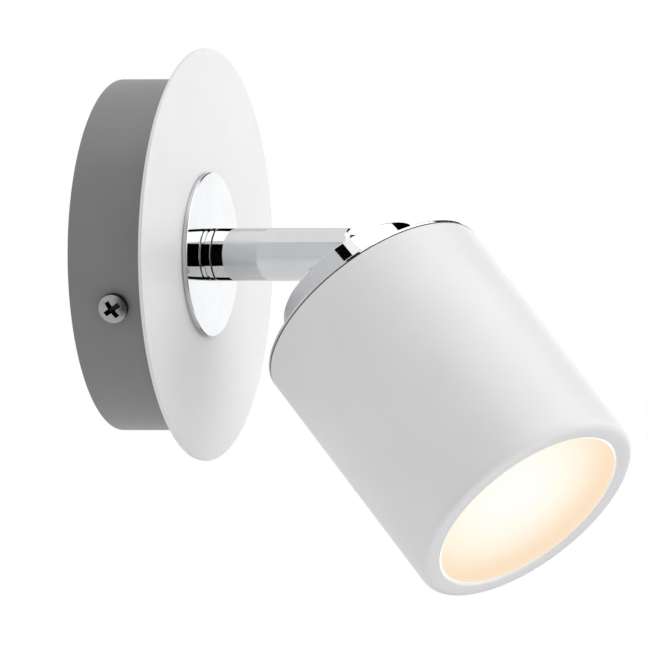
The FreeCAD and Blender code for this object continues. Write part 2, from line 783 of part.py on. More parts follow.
def make_end_plate():
    """Chrome end plate of the shade, with a grooved spigot that the shade slides onto."""
    spigot = "(shade_bore - fit_gap)"
    groove = f"({spigot} - ring_cord_radius)"
    middle = "plate_back + spigot_height / 2"
    plate = turned([
        ("holder_radius + 2 * fit_gap", "cap_rim"), ("shade_radius", "cap_rim"),
        ("shade_radius", "plate_back"), (spigot, "plate_back"),
        (spigot, f"{middle} - ring_cord_radius"), (groove, f"{middle} - ring_cord_radius"),
        (groove, f"{middle} + ring_cord_radius"), (spigot, f"{middle} + ring_cord_radius"),
        (spigot, "plate_back + spigot_height"),
        (f"{groove} - spigot_wall", "plate_back + spigot_height"),
        (f"{groove} - spigot_wall", "plate_back"), ("holder_radius + 2 * fit_gap", "plate_back"),
    ])
    holes = [
        cylinder("plate_screw_radius + fit_gap / 3", "plate_thickness",
                 up=f"{side} * boss_offset", out="cap_rim")
        for side in ("-1", "1")
    ]
    finish("end_plate", cut(plate, *holes), HEAD)
    screws = []
    for side in ("-1", "1"):
        screw = pan_screw("plate_head_radius", "plate_head_height", "plate_screw_radius",
                          "plate_screw_length")
        screws.append(seat(screw, up=f"{side} * boss_offset", out="plate_back"))
    finish("end_plate_screws", group(screws), HEAD)
    finish("grip_ring", ring("shade_bore - thread_gap", f"{groove} + thread_gap",
                             f"{middle} - ring_cord_radius + thread_gap",
                             f"{middle} + ring_cord_radius - thread_gap"), HEAD)


def make_shade():
    """White shade: an open tube with a lip turned in round the opening."""
    finish("shade", turned([
        ("shade_bore", "plate_back"), ("shade_radius", "plate_back"),
        ("shade_radius", "shade_end"), ("opening_radius", "shade_end"),
        ("opening_radius", "lip_back"), ("shade_bore", "lip_back"),
    ], "shade_rounding", "shade_radius", "shade_end"), HEAD)


def make_glass():
    """Stepped satin glass on a gasket behind the lip, held by a clip ring."""
    rim = "(shade_bore - fit_gap)"
    boss = "(opening_radius - fit_gap)"
    finish("glass_gasket", ring(rim, f"{rim} - gasket_width", "glass_front", "lip_back"), HEAD)
    finish("satin_glass", turned([
        ("0", "glass_back"), (rim, "glass_back"), (rim, "glass_front"), (boss, "glass_front"),
        (boss, "shade_end - glass_recess"), ("0", "shade_end - glass_recess"),
    ]), HEAD)
    finish("glass_clip", ring("shade_bore - thread_gap", "shade_bore - clip_width",
                              "glass_back - clip_thickness", "glass_back"), HEAD)


def make_lamp_holder():
    """Ceramic lamp holder on a steel plate under the tongue's foot."""
    screw_places = [f"{side} * holder_screw_offset" for side in ("-1", "1")]
    pin_places = [f"{side} * pin_offset" for side in ("-1", "1")]
    plate_tools = [
        cylinder("foot_screw_radius + thread_gap", "holder_plate_thickness",
                 across=f"{side} * foot_screw_offset", out="foot_back")
        for side in ("-1", "1")
    ]
    plate_tools += wire_pair("wire_channel", "foot_back", "holder_top")
    plate_tools += [
        cylinder("holder_screw_radius + thread_gap", "holder_plate_thickness",
                 up=place, out="foot_back")
        for place in screw_places
    ]
    plate = cylinder("holder_radius", "holder_plate_thickness", out="foot_back")
    finish("holder_plate", cut(plate, *plate_tools), HEAD)

    tools = [cylinder("holder_recess_radius", "holder_recess", out="holder_top")]
    for place in pin_places:
        tools.append(cylinder("pin_hole_radius", "pin_hole_depth", across=place,
                              out="holder_face - pin_hole_depth"))
    for place in screw_places:
        tools.append(cylinder("holder_screw_radius + thread_gap", "holder_height",
                              up=place, out="holder_top"))
        tools.append(cylinder("holder_head_radius + thread_gap", "holder_head_height + fit_gap",
                              up=place, out="holder_face - holder_head_height - fit_gap"))
    body = cylinder("holder_radius", "holder_height", out="holder_top")
    finish("lamp_holder", cut(body, *tools), HEAD)

    screws = []
    for place in screw_places:
        screw = pan_screw("holder_head_radius", "holder_head_height", "holder_screw_radius",
                          "holder_height - holder_head_height - fit_gap + holder_plate_thickness")
        screws.append(seat(screw, up=place, out="holder_face - holder_head_height - fit_gap"))
    finish("holder_screws", group(screws), HEAD)

    contacts = []
    for place in pin_places:
        floor = "holder_face - pin_hole_depth"
        contacts.append(cut(
            cylinder("pin_hole_radius - thread_gap", "contact_length", across=place, out=floor),
            cylinder("pin_hole_radius - thread_gap - contact_wall", "contact_length",
                     across=place, out=floor),
        ))
    finish("holder_contacts", group(contacts), HEAD)
    finish("head_wires", group(wire_pair("wire_radius", "-tongue_radius / 2", "recess_floor")), HEAD)


def make_lamp():
    """Reflector lamp with two pins, its board, reflector and lens."""
    base = "(holder_face + thread_gap)"
    neck = f"({base} + lamp_neck)"
    rim = "(lamp_front - lamp_rim)"
    board = f"({base} + board_level)"
    board_top = f"({board} + board_thickness)"
    inner = "(lamp_radius - lamp_wall)"
    slope = f"(({inner} - board_radius) / ({rim} - {board}))"
    body = turned([
        ("0", base), ("lamp_neck_radius", base), ("lamp_neck_radius", neck),
        ("lamp_radius", rim), ("lamp_radius", "lamp_front"), (inner, "lamp_front"),
        (inner, rim), ("board_radius", board), ("0", board),
    ])
    finish("lamp_body", body, HEAD)
    finish("lamp_board", fuse(
        cylinder("board_radius - fit_gap", "board_thickness", out=board),
        cylinder("chip_radius", "chip_height", out=board_top),
    ), HEAD)
    gap = "thread_gap"
    foot = f"(board_radius + board_thickness * {slope} - {gap})"
    mouth = f"({inner} - {gap})"
    lens = "(lamp_front - lens_thickness)"
    finish("lamp_reflector", turned([
        (foot, board_top), (mouth, rim), (mouth, lens), (f"{mouth} - reflector_wall", lens),
        (f"{mouth} - reflector_wall", rim), (f"{foot} - reflector_wall", board_top),
    ]), HEAD)
    finish("lamp_lens", group([cylinder(mouth, "lens_thickness", out=lens)]), HEAD)
    pins = []
    for side in ("-1", "1"):
        place = f"{side} * pin_offset"
        pins.append(fuse(
            cylinder("lamp_pin_radius", "lamp_pin_length", across=place,
                     out=f"{base} - lamp_pin_length"),
            cylinder("lamp_pin_head_radius", "lamp_pin_head", across=place,
                     out=f"{base} - lamp_pin_length"),
        ))
    finish("lamp_pins", group(pins), HEAD)


# ---------------------------------------------------------------- build, check and write

def main():
    make_bracket()
    make_cup()
    make_side_screws()
    make_front_discs()
    make_stop_pin()
    make_terminal_block()
    make_earth()
    make_base_leads()
    make_arm()
    make_swivel()
    make_arm_cable()
    make_pivot()
    make_hinge_tongue()
    make_foot_screws()
    make_cap()
    make_end_plate()
    make_shade()
    make_glass()
    make_lamp_holder()
    make_lamp()
    doc.recompute()
    for thing in doc.Objects:
        if "Invalid" in thing.State or "Error" in thing.State:
            raise RuntimeError(f"{thing.Name} ({thing.Label}) failed: {thing.State}")
    os.makedirs("parts", exist_ok=True)
    for piece in pieces:
        shape = piece.Shape
        if shape.isNull() or not shape.isValid():
            raise RuntimeError(f"{piece.Label} has no valid shape")
        shape.exportStep(f"parts/{piece.Label}.step")
        print(f"{piece.Label:18} {len(shape.Solids)} solid(s) {shape.Volume:10.1f} mm3")


main()
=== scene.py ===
# %% [markdown]
# # A pivoting wall spotlight
#
# The light stands on the wall with a grey cup, a white cover disc and a small chrome rosette. A chrome
# arm swivels in the rosette, and a white shade with a chrome cap tilts on the hinge at the arm's end.
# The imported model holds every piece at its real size. This lesson gives the pieces that show smoother
# meshes with small rounded edges, and gives every piece the finish of its real material.

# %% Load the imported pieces
import bpy
import bmesh
import json
import math
from mathutils import Matrix, Vector


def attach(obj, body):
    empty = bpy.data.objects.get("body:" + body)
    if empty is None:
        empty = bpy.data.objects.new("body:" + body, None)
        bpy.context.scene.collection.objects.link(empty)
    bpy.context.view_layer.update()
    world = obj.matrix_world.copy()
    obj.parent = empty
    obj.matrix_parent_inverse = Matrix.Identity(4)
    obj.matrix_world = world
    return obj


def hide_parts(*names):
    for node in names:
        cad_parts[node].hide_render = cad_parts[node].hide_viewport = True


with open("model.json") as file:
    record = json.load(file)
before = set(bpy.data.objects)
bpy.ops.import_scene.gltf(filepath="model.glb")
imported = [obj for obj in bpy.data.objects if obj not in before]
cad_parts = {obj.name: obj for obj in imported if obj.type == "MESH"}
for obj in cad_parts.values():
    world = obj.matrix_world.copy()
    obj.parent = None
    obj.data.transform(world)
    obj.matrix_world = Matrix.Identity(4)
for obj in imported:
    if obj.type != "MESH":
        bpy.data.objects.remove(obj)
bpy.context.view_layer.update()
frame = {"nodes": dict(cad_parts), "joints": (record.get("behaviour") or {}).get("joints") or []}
nodes = frame["nodes"]
print(len(nodes), "pieces in the frame")

# %% [markdown]
# ## The directions that the pieces were drawn in
#
# Each group of pieces is round about its own axis, so a mesh is easiest to draw along that axis and is
# then turned into place. The base's axis stands out of the wall along -Y. The head's axis starts at the
# hinge and leans by the tilt. The hinge's place and axis are read from the imported joints, and the
# tilt and the bracket's turn are given.

# %% The axes of the base, the arm and the head
MM = 0.001
QUARTER_TURN = math.pi / 2
TILT = math.radians(49.2)              # from straight out of the wall to the head's axis
BRACKET_TURN = math.radians(17.3)      # the side screws' line, from level

joints = {joint["name"]: joint for joint in frame["joints"]}
hinge = Vector(joints["head_tilt"]["pos_m"])
hinge_axis = Vector(joints["head_tilt"]["axis"])

wall_axes = Matrix.Rotation(QUARTER_TURN, 4, "X")
bracket_axes = wall_axes @ Matrix.Rotation(BRACKET_TURN, 4, "Z")
arm_axes = wall_axes @ Matrix.Rotation(math.atan2(hinge_axis.z, hinge_axis.x), 4, "Z")
hinge_axes = arm_axes @ Matrix.Translation((0, 0, -hinge.y))
head_axes = hinge_axes @ Matrix.Rotation(TILT, 4, "X")
print("hinge, in mm out of the wall:", round(-hinge.y / MM, 2))

# %% [markdown]
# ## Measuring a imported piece
#
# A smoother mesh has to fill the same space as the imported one, so its main sizes aren't typed in again.
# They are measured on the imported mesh, as a radius and two levels along the group's axis.

# %% Radius and levels of a piece


def reach(node, axes):
    """(radius, lowest level, highest level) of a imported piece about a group's axis, in millimetres."""
    back = axes.inverted()
    points = [back @ vertex.co for vertex in nodes[node].data.vertices]
    levels = [point.z / MM for point in points]
    return max(point.xy.length for point in points) / MM, min(levels), max(levels)


for name, axes in (("cover_disc", wall_axes), ("arm", arm_axes), ("shade", head_axes)):
    print(name, "radius and levels in mm:", [round(value, 2) for value in reach(name, axes)])

# %% [markdown]
# ## The camera
#
# The photograph was taken level with the light through a very long lens, so lines that run away from
# the viewer hardly draw together. A camera 6 m away with a lens to match gives the same view. The
# framing is worked out from the picture's scale in pixels per millimetre.

# %% A camera with a very long lens
PICTURE_SIDE = 648                     # pixels
PICTURE_SCALE = 4.118                  # pixels for a millimetre at the light
ORIGIN_PIXEL = (124.3, 254.7)          # where the base's centre on the wall lies in the picture
CAMERA_DISTANCE = 6.0                  # metres
CAMERA_REACH = 50                      # metres
CAMERA_TURN = math.radians(-71.7)
SENSOR = 36                            # millimetres

camera_back = Vector((math.sin(CAMERA_TURN), -math.cos(CAMERA_TURN), 0))
camera_right = Vector((math.cos(CAMERA_TURN), math.sin(CAMERA_TURN), 0))
across, down = ((PICTURE_SIDE / 2 - pixel) / PICTURE_SCALE * MM for pixel in ORIGIN_PIXEL)
target = camera_right * across - Vector((0, 0, down))

camera_data = bpy.data.cameras.new("camera")
camera_data.sensor_width = SENSOR
camera_data.lens = PICTURE_SCALE / MM * CAMERA_DISTANCE * SENSOR / PICTURE_SIDE
camera_data.clip_end = CAMERA_REACH
camera = bpy.data.objects.new("camera", camera_data)
bpy.context.scene.collection.objects.link(camera)
bpy.context.scene.camera = camera
camera.location = target + camera_back * CAMERA_DISTANCE
camera.rotation_euler = (-camera_back).to_track_quat("-Z", "Y").to_euler()
print("lens in mm:", round(camera_data.lens))

# %% [markdown]
# ## Colours
#
# A finish is easiest to name by the colour that a screen shows, as sRGB hex. Shaders count in linear
# light, so one function turns the hex to linear. Its numbers are the sRGB standard's own.

# %% From a screen's colour to linear light


def linear(hex_colour):
    """An sRGB hex colour as linear light with full alpha."""
    channels = [int(hex_colour[k:k + 2], 16) / 255 for k in (1, 3, 5)]
    return [c / 12.92 if c <= 0.04045 else ((c + 0.055) / 1.055) ** 2.4 for c in channels] + [1]


WHITE = linear("#FFFFFF")
print("middle grey #808080 in linear light:", round(linear("#808080")[0], 3))

# %% [markdown]
# ## Nodes
#
# A material is a small tree of nodes. One function adds a node with its settings and its links, so that
# each finish below can be read as a recipe. A value that is the same all over the surface is set on the
# shader's own socket.

# %% Adding a node, and starting a material


def add(tree, kind, settings=(), **links):
    """Add a node. A link is named for its socket, with _ for a space, or i and the socket's number.

    Its value is another node's socket, or a plain value.
    """
    node = tree.nodes.new(kind)
    for name, value in dict(settings).items():
        setattr(node, name, value)
    for name, value in links.items():
        key = int(name[1:]) if name[0] == "i" and name[1:].isdigit() else name.replace("_", " ")
        socket = node.inputs[key]
        if isinstance(value, bpy.types.NodeSocket):
            tree.links.new(value, socket)
        else:
            socket.default_value = value
    return node


def new_material(name, **values):
    """A material with only a Principled shader and its uniform values, and its node tree and shader."""
    material = bpy.data.materials.new(name)
    material.use_nodes = True
    tree = material.node_tree
    tree.nodes.clear()
    shader = add(tree, "ShaderNodeBsdfPrincipled", **values)
    add(tree, "ShaderNodeOutputMaterial", Surface=shader.outputs[0])
    return material, tree, shader


# %% [markdown]
# ## What every made surface has
#
# No real surface is the same all over. Its colour drifts in slow clouds, and a finer grain, left by the
# tool, the spray or the mould, changes its gloss and its height a little. Painted maps could hold both,
# but noise that is measured in millimetres of the real surface stays sharp close up.

# %% A finish with clouds and grain
CLOUD_SPAN = (0.35, 0.65)              # where noise crosses from the first colour to the second


def patterned_finish(name, colours, gloss, depth_mm, cloud, grain, **values):
    """Colour between two hex colours by the cloud, and roughness and relief by the grain.

    A pattern is (size of its blobs in mm, detail, roughness), and gloss is (lowest, highest) roughness.
    """
    material, tree, shader = new_material(name, **values)
    point = add(tree, "ShaderNodeTexCoord").outputs["Object"]
    clouds, grains = (
        add(tree, "ShaderNodeTexNoise", Vector=point, Scale=1 / (size * MM), Detail=detail,
            Roughness=roughness).outputs[0]
        for size, detail, roughness in (cloud, grain)
    )
    ramp = add(tree, "ShaderNodeValToRGB", Fac=clouds)
    for stop, position, colour in zip(ramp.color_ramp.elements, CLOUD_SPAN, colours):
        stop.position = position
        stop.color = linear(colour)
    tree.links.new(ramp.outputs["Color"], shader.inputs["Base Color"])
    shine = add(tree, "ShaderNodeMapRange", Value=grains, To_Min=gloss[0], To_Max=gloss[1])
    tree.links.new(shine.outputs[0], shader.inputs["Roughness"])
    relief = add(tree, "ShaderNodeBump", Height=grains, Distance=depth_mm * MM, Strength=1.0)
    tree.links.new(relief.outputs[0], shader.inputs["Normal"])
    return material


# %% [markdown]
# ## Satin lacquer on pressed steel
#
# The cup and the disc are pressed steel with a sprayed satin lacquer, and so is the shade. Lacquer is a
# clear-bound paint with an IOR near 1.5, and spraying leaves orange peel: soft waves a millimetre or so
# across and a few thousandths deep. The eye reads it as a highlight that is soft and slightly restless.

# %% Grey and white lacquer
PAINT_CLOUD = (22, 3, 0.5)             # millimetres, detail, roughness
ORANGE_PEEL = (1.4, 1.5, 0.5)
ORANGE_PEEL_DEPTH_MM = 0.004
LACQUER_SPREAD = 0.03                  # how much the roughness varies each way


def satin_lacquer(name, thin, thick, gloss):
    return patterned_finish(name, (thin, thick), (gloss - LACQUER_SPREAD, gloss + LACQUER_SPREAD),
                            ORANGE_PEEL_DEPTH_MM, PAINT_CLOUD, ORANGE_PEEL, IOR=1.5)


grey_lacquer = satin_lacquer("grey_satin_lacquer", "#868688", "#828284", 0.36)
white_lacquer = satin_lacquer("white_satin_lacquer", "#F0F0F1", "#EDEDEE", 0.40)
print("lacquers:", grey_lacquer.name, white_lacquer.name)

# %% [markdown]
# ## Bright chrome plate
#
# Chrome plate over polished steel mirrors the room. Its faint blue cast comes from the metal's own
# colour, and the polish leaves waves several millimetres long and less than a thousandth deep, so the
# borders of what it mirrors are sharp but not quite straight. A breath of haze varies over the piece.

# %% Chrome
POLISH_WAVE = (9, 2, 0.5)
POLISH_WAVE_DEPTH_MM = 0.0004
CHROME_GLOSS = (0.03, 0.06)

chrome = patterned_finish("bright_chrome_plate", ("#D3D4D6", "#D8D9DA"), CHROME_GLOSS,
                          POLISH_WAVE_DEPTH_MM, POLISH_WAVE, POLISH_WAVE, Metallic=1.0)
print("mirror:", chrome.name)

# %% [markdown]
# ## Zinc-plated steel and the small metals
#
# Screws, washers, the bracket and the nut are steel with a thin zinc plate. Zinc crystals scatter the
# light into fine frosty flecks about half a millimetre across, so its mirror is blurred and grey. Brass,
# tinned copper, the lamp's board and its reflector have the same kind of fleck, each in its own size.

# %% Zinc, brass, tin and aluminium
ZINC_FLECK_MM = 0.5
FLECK_DEPTH_MM = 0.004


def plated_metal(name, dark, pale, low_gloss, high_gloss, fleck_mm=ZINC_FLECK_MM):
    fleck = (fleck_mm, 3, 0.6)
    return patterned_finish(name, (dark, pale), (low_gloss, high_gloss), FLECK_DEPTH_MM,
                            fleck, fleck, Metallic=1.0)


zinc = plated_metal("zinc_plated_steel", "#A2A4A5", "#B3B4B5", 0.28, 0.4)
brass = plated_metal("turned_brass", "#C9A45C", "#D9B872", 0.2, 0.35)
tinned = plated_metal("tinned_copper", "#C4C0BA", "#D3D0CB", 0.3, 0.42, fleck_mm=0.9)
board = plated_metal("aluminium_core_board", "#D4D4D2", "#E0E0DE", 0.35, 0.5, fleck_mm=1.5)
foil = plated_metal("vacuum_coated_reflector", "#E6E6E6", "#EEEEEE", 0.06, 0.12, fleck_mm=3)
print("plated metals:", [metal.name for metal in (zinc, brass, tinned, board, foil)])

# %% [markdown]
# ## Plastics, rubber, fibre and ceramic
#
# Moulded parts share one recipe: the dye varies a little in slow clouds, and the tool's spark-eroded
# surface leaves a fine grain. Nylon and silicone have an IOR near 1.5, and steatite near 1.6. The eye
# takes them for what they are by their colour and by how dull the grain makes them.

# %% The moulded materials
DYE_CLOUD = (4, 3, 0.5)
MOULD_SPREAD = 0.06                    # how much the roughness varies each way


def moulded(name, first, second, gloss, grain_mm=0.35, depth_mm=0.01, ior=1.5):
    return patterned_finish(name, (first, second), (gloss - MOULD_SPREAD, gloss + MOULD_SPREAD),
                            depth_mm, DYE_CLOUD, (grain_mm, 2, 0.5), IOR=ior)


block_nylon = moulded("natural_polyamide", "#E4E2DA", "#EEECE6", 0.45)
black_nylon = moulded("black_polyamide", "#151515", "#1D1D1D", 0.5)
core_brown = moulded("brown_core_insulation", "#4A2A1C", "#55311F", 0.4, grain_mm=0.6)
core_green = moulded("earth_core_insulation", "#4E8A22", "#5A9A28", 0.4, grain_mm=0.6)
cable_sheath = moulded("white_cable_sheath", "#DFDFDC", "#E8E8E5", 0.45, grain_mm=0.8)
silicone = moulded("clear_silicone", "#CFCFC9", "#D9D9D3", 0.5, grain_mm=1.0)
steatite = moulded("pressed_steatite", "#E6E2D6", "#EFECE2", 0.6, grain_mm=0.25, ior=1.6)
lamp_plastic = moulded("lamp_housing_plastic", "#E6E6E6", "#EEEEEE", 0.4)
red_fibre = moulded("vulcanised_fibre", "#7A2A20", "#8A3427", 0.6, grain_mm=0.3, depth_mm=0.02)
print("materials so far:", len(bpy.data.materials))

# %% [markdown]
# ## Satin glass with the lamp lit behind it
#
# The glass is etched on the back, so it spreads the lamp's beam into an even glow. The glow is whitest
# over the lamp and turns to peach at the rim, where the light has passed through more glass and the
# beam is weaker. A real lamp behind real glass would need many samples to come out smooth, so the glass
# gives the light itself. The gradient is fixed to the glass, measured from a point beside its centre.

# %% The lit glass
GLOW_CENTRE_MM = (-12.0, 0.0)          # local to the glass, from its axis
GLOW_STRETCH = 1.2                     # the glow fades faster across the light's upright plane
GLOW_REACH_MM = 37.0                   # from the whitest point to the deepest peach
GLOW_STOPS = ((0.1, "#FFFEFA"), (0.45, "#FFFBEA"), (0.72, "#FFF0D8"), (0.95, "#FBDCB8"))
GLOW_STRENGTH = 0.78
GROUND_EDGE_MM = (24.75, 25.05)        # where the ground edge begins to glow white
ETCH_MM = 0.3
ETCH_DEPTH_MM = 0.003
ETCH_GLOSS = (0.35, 0.45)


def lit_satin_glass():
    material, tree, shader = new_material("lit_satin_glass", Base_Color=linear("#8F8B84"), IOR=1.52,
                                          Emission_Strength=GLOW_STRENGTH)
    point = add(tree, "ShaderNodeTexCoord").outputs["Object"]
    turn = head_axes.to_3x3()
    origin = head_axes.translation
    along = [add(tree, "ShaderNodeVectorMath", {"operation": "DOT_PRODUCT"},
                 i0=point, i1=turn.col[k] / MM) for k in (0, 1)]
    local = add(tree, "ShaderNodeCombineXYZ", X=along[0].outputs["Value"], Y=along[1].outputs["Value"])
    centre = add(tree, "ShaderNodeVectorMath", {"operation": "SUBTRACT"}, i0=local.outputs[0],
                 i1=(origin.dot(turn.col[0]) / MM, origin.dot(turn.col[1]) / MM, 0))

    def fade(start, scale, low, high):
        """From 0 to 1 as the distance from a point of the glass goes from low to high."""
        scaled = add(tree, "ShaderNodeVectorMath", {"operation": "MULTIPLY"},
                     i0=centre.outputs[0], i1=scale)
        away = add(tree, "ShaderNodeVectorMath", {"operation": "DISTANCE"},
                   i0=scaled.outputs[0], i1=start)
        return add(tree, "ShaderNodeMapRange", {"interpolation_type": "SMOOTHSTEP"},
                   Value=away.outputs["Value"], From_Min=low, From_Max=high).outputs[0]

    glow = add(tree, "ShaderNodeValToRGB",
               Fac=fade((*GLOW_CENTRE_MM, 0), (1, GLOW_STRETCH, 1), 0, GLOW_REACH_MM))
    stops = glow.color_ramp.elements
    for position, _ in GLOW_STOPS[1:-1]:
        stops.new(position)
    for stop, (position, colour) in zip(stops, GLOW_STOPS):
        stop.position = position
        stop.color = linear(colour)
    edge = add(tree, "ShaderNodeMix", {"data_type": "RGBA"},
               Factor=fade((0, 0, 0), (1, 1, 1), *GROUND_EDGE_MM), i6=glow.outputs["Color"], i7=WHITE)
    tree.links.new(edge.outputs[2], shader.inputs["Emission Color"])

    etch = add(tree, "ShaderNodeTexNoise", Vector=point, Scale=1 / (ETCH_MM * MM), Detail=2,
               Roughness=0.5).outputs[0]
    shine = add(tree, "ShaderNodeMapRange", Value=etch, To_Min=ETCH_GLOSS[0], To_Max=ETCH_GLOSS[1])
    tree.links.new(shine.outputs[0], shader.inputs["Roughness"])
    relief = add(tree, "ShaderNodeBump", Height=etch, Distance=ETCH_DEPTH_MM * MM, Strength=1.0)
    tree.links.new(relief.outputs[0], shader.inputs["Normal"])
    return material


satin_glass = lit_satin_glass()
print("glass:", satin_glass.name, "with", len(satin_glass.node_tree.nodes), "nodes")

# %% [markdown]
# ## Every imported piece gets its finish
#
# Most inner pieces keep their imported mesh. They show from behind, where the cup is open, and they need
# the right finish there as much as the outside does.

# %% Finishes by piece
FINISHES = {
    grey_lacquer: ["base_cup"],
    white_lacquer: ["cover_disc", "shade"],
    chrome: ["rosette", "swivel_collar", "arm", "cap", "end_plate", "hinge_tongue"],
    zinc: ["wall_bracket", "side_screws", "block_screw", "earth_screw", "swivel_stem",
           "spring_washer", "stop_washer", "lock_nut", "stop_pin", "pivot_screw", "foot_screws",
           "end_plate_screws", "holder_plate", "holder_screws", "glass_clip"],
    tinned: ["earth_lug"],
    red_fibre: ["fibre_washer"],
    block_nylon: ["terminal_block"],
    brass: ["terminal_inserts", "terminal_screws", "holder_contacts", "lamp_pins"],
    core_brown: ["supply_leads", "head_wires"],
    core_green: ["earth_lead"],
    cable_sheath: ["arm_cable"],
    black_nylon: ["tail_bush", "fork_bush", "hinge_washers"],
    silicone: ["glass_gasket", "grip_ring"],
    satin_glass: ["satin_glass", "lamp_lens"],
    steatite: ["lamp_holder"],
    lamp_plastic: ["lamp_body"],
    board: ["lamp_board"],
    foil: ["lamp_reflector"],
}
finish_of = {node: material for material, members in FINISHES.items() for node in members}
for name, node in nodes.items():
    node.data.materials.clear()
    node.data.materials.append(finish_of[name])
print(len(FINISHES), "finishes on", len(finish_of), "pieces")

# %% [markdown]
# ## A half section with rounded corners
#
# Cups, discs, tubes and rings are all turned shapes, which a half section describes. Real edges are
# never perfectly sharp: each corner of the section may have a radius, drawn as a short arc, and that
# radius catches the light as a fine bright line. A bevel modifier could round the finished mesh, but
# only the section tells each corner's own radius.

# %% Corners to points
ARC_STEPS = 6                          # steps in one rounded corner


def section(corners):
    """The points of a closed half section. A corner is (radius, level) or (radius, level, rounding)."""
    points = []
    for k, corner in enumerate(corners):
        here = Vector(corner[:2])
        rounding = corner[2] if len(corner) > 2 else 0
        if not rounding:
            points.append(here)
            continue
        before = (Vector(corners[k - 1][:2]) - here).normalized()
        after = (Vector(corners[(k + 1) % len(corners)][:2]) - here).normalized()
        half = before.angle(after) / 2
        middle = here + (before + after).normalized() * rounding / math.sin(half)
        start = here + before * rounding / math.tan(half) - middle
        end = here + after * rounding / math.tan(half) - middle
        turn = start.angle_signed(end)
        for step in range(ARC_STEPS + 1):
            angle = -turn * step / ARC_STEPS
            points.append(middle + Matrix.Rotation(angle, 2) @ start)
    return points


print("points in a square with one round corner:", len(section([(0, 0), (1, 0, 0.1), (1, 1), (0, 1)])))

# %% [markdown]
# ## Spinning the section
#
# The section goes round its axis like work on a lathe. Blender has a spin operator for this, but rings
# of points that are joined in order keep the axis free of doubled points and thin faces.

# %% The lathe
TURNS = 192                            # steps round a turned piece
ON_AXIS_MM = 1e-6                      # a radius below this is a point on the axis


def spin(corners, steps=TURNS):
    """A bmesh in millimetres, turned from a half section about the local Z axis."""
    made = bmesh.new()
    rings = []
    for radius, level in section(corners):
        if radius < ON_AXIS_MM:
            rings.append([made.verts.new((0, 0, level))] * steps)
            continue
        rings.append([
            made.verts.new((radius * math.cos(a), radius * math.sin(a), level))
            for a in (math.tau * step / steps for step in range(steps))
        ])
    for ring, following in zip(rings, rings[1:] + rings[:1]):
        for step in range(steps):
            ahead = (step + 1) % steps
            face = [ring[step], ring[ahead], following[ahead], following[step]]
            face = list(dict.fromkeys(face))
            if len(face) > 2:
                made.faces.new(face)
    return made


def into_place(made, axes):
    """Bring a bmesh drawn in millimetres to metres, along a group's axes."""
    bmesh.ops.transform(made, matrix=axes @ Matrix.Scale(MM, 4), verts=made.verts)
    bmesh.ops.recalc_face_normals(made, faces=made.faces)


print("degrees between two steps of a turned piece:", 360 / TURNS)

# %% [markdown]
# ## Keeping a piece
#
# A finished mesh becomes an object that is parented to an empty for its body, and the imported piece
# that it replaces is hidden. Faces are smooth apart from sharp corners, so that the chrome's mirror
# doesn't break into flats.

# %% From a mesh to a piece on its body
SHARP_ANGLE = math.radians(35)


def keep(name, made, body, material, replaced=(), second=None):
    """Make the piece from a bmesh, shade it, parent it to its body's empty, and hide what it replaces."""
    mesh = bpy.data.meshes.new(name)
    made.to_mesh(mesh)
    made.free()
    mesh.polygons.foreach_set("use_smooth", [True] * len(mesh.polygons))
    mesh.set_sharp_from_angle(angle=SHARP_ANGLE)
    mesh.materials.append(material)
    if second:
        mesh.materials.append(second)
    piece = bpy.data.objects.new(name, mesh)
    bpy.context.scene.collection.objects.link(piece)
    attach(piece, body)
    if replaced:
        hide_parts(*replaced)
    print(name, "with", len(mesh.polygons), "faces")
    return piece


def turned(name, corners, axes, body, material):
    """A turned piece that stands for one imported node."""
    made = spin(corners)
    into_place(made, axes)
    return keep(name + "_turned", made, body, material, [name])


# %% [markdown]
# ## The cup
#
# The cup is drawn from steel sheet, which leaves its outer edge with a radius a little under the
# sheet's own thickness. It is open towards the wall, and its floor carries the disc. A hollowed
# cylinder would do from the front, but one section gives both walls and both radii, and the open back
# is seen as well.

# %% The grey cup
STEM_HOLE = 5.06                       # radius of the hole for the arm's stem, through all the base
CUP_WALL = 1.2
CUP_ROUNDING = 0.8

radius, back, front = reach("base_cup", bracket_axes)
turned("base_cup", [
    (STEM_HOLE, front), (radius, front, CUP_ROUNDING), (radius, back), (radius - CUP_WALL, back),
    (radius - CUP_WALL, front - CUP_WALL, CUP_ROUNDING / 2), (STEM_HOLE, front - CUP_WALL),
], bracket_axes, "base", grey_lacquer)

# %% [markdown]
# ## The cover disc
#
# The disc is a plain sheet, blanked and lacquered, with its edges just broken. Seen from the side, that
# small edge is what tells the sheet's thickness. It could be a bevelled cylinder, but the section keeps
# the hole for the arm's stem too.

# %% The white disc
DISC_EDGE = 0.25

radius, back, front = reach("cover_disc", wall_axes)
turned("cover_disc", [
    (STEM_HOLE, back), (radius, back, DISC_EDGE), (radius, front, DISC_EDGE), (STEM_HOLE, front),
], wall_axes, "base", white_lacquer)

# %% [markdown]
# ## The rosette and the collar
#
# Both are turned and plated. The collar stands still on the rosette, and what is left between it and
# the turning arm is the fine groove at the arm's root. Where one turned piece sits on another there is
# always a thin dark line. Paint could fake it, but a foot that is cut back a little casts it from every
# side. Both pieces have the same section, so one loop turns them.

# %% The chrome rosette and collar
ROSETTE_EDGE = 0.25
ROSETTE_SEAM = 0.3
COLLAR_EDGE = 0.12
COLLAR_SEAM = 0.3

for name, seam, edge in (("rosette", ROSETTE_SEAM, ROSETTE_EDGE),
                         ("swivel_collar", COLLAR_SEAM, COLLAR_EDGE)):
    radius, back, front = reach(name, wall_axes)
    turned(name, [
        (STEM_HOLE, back), (radius - seam, back), (radius - seam, back + seam),
        (radius, back + seam), (radius, front, edge), (STEM_HOLE, front),
    ], wall_axes, "base", chrome)
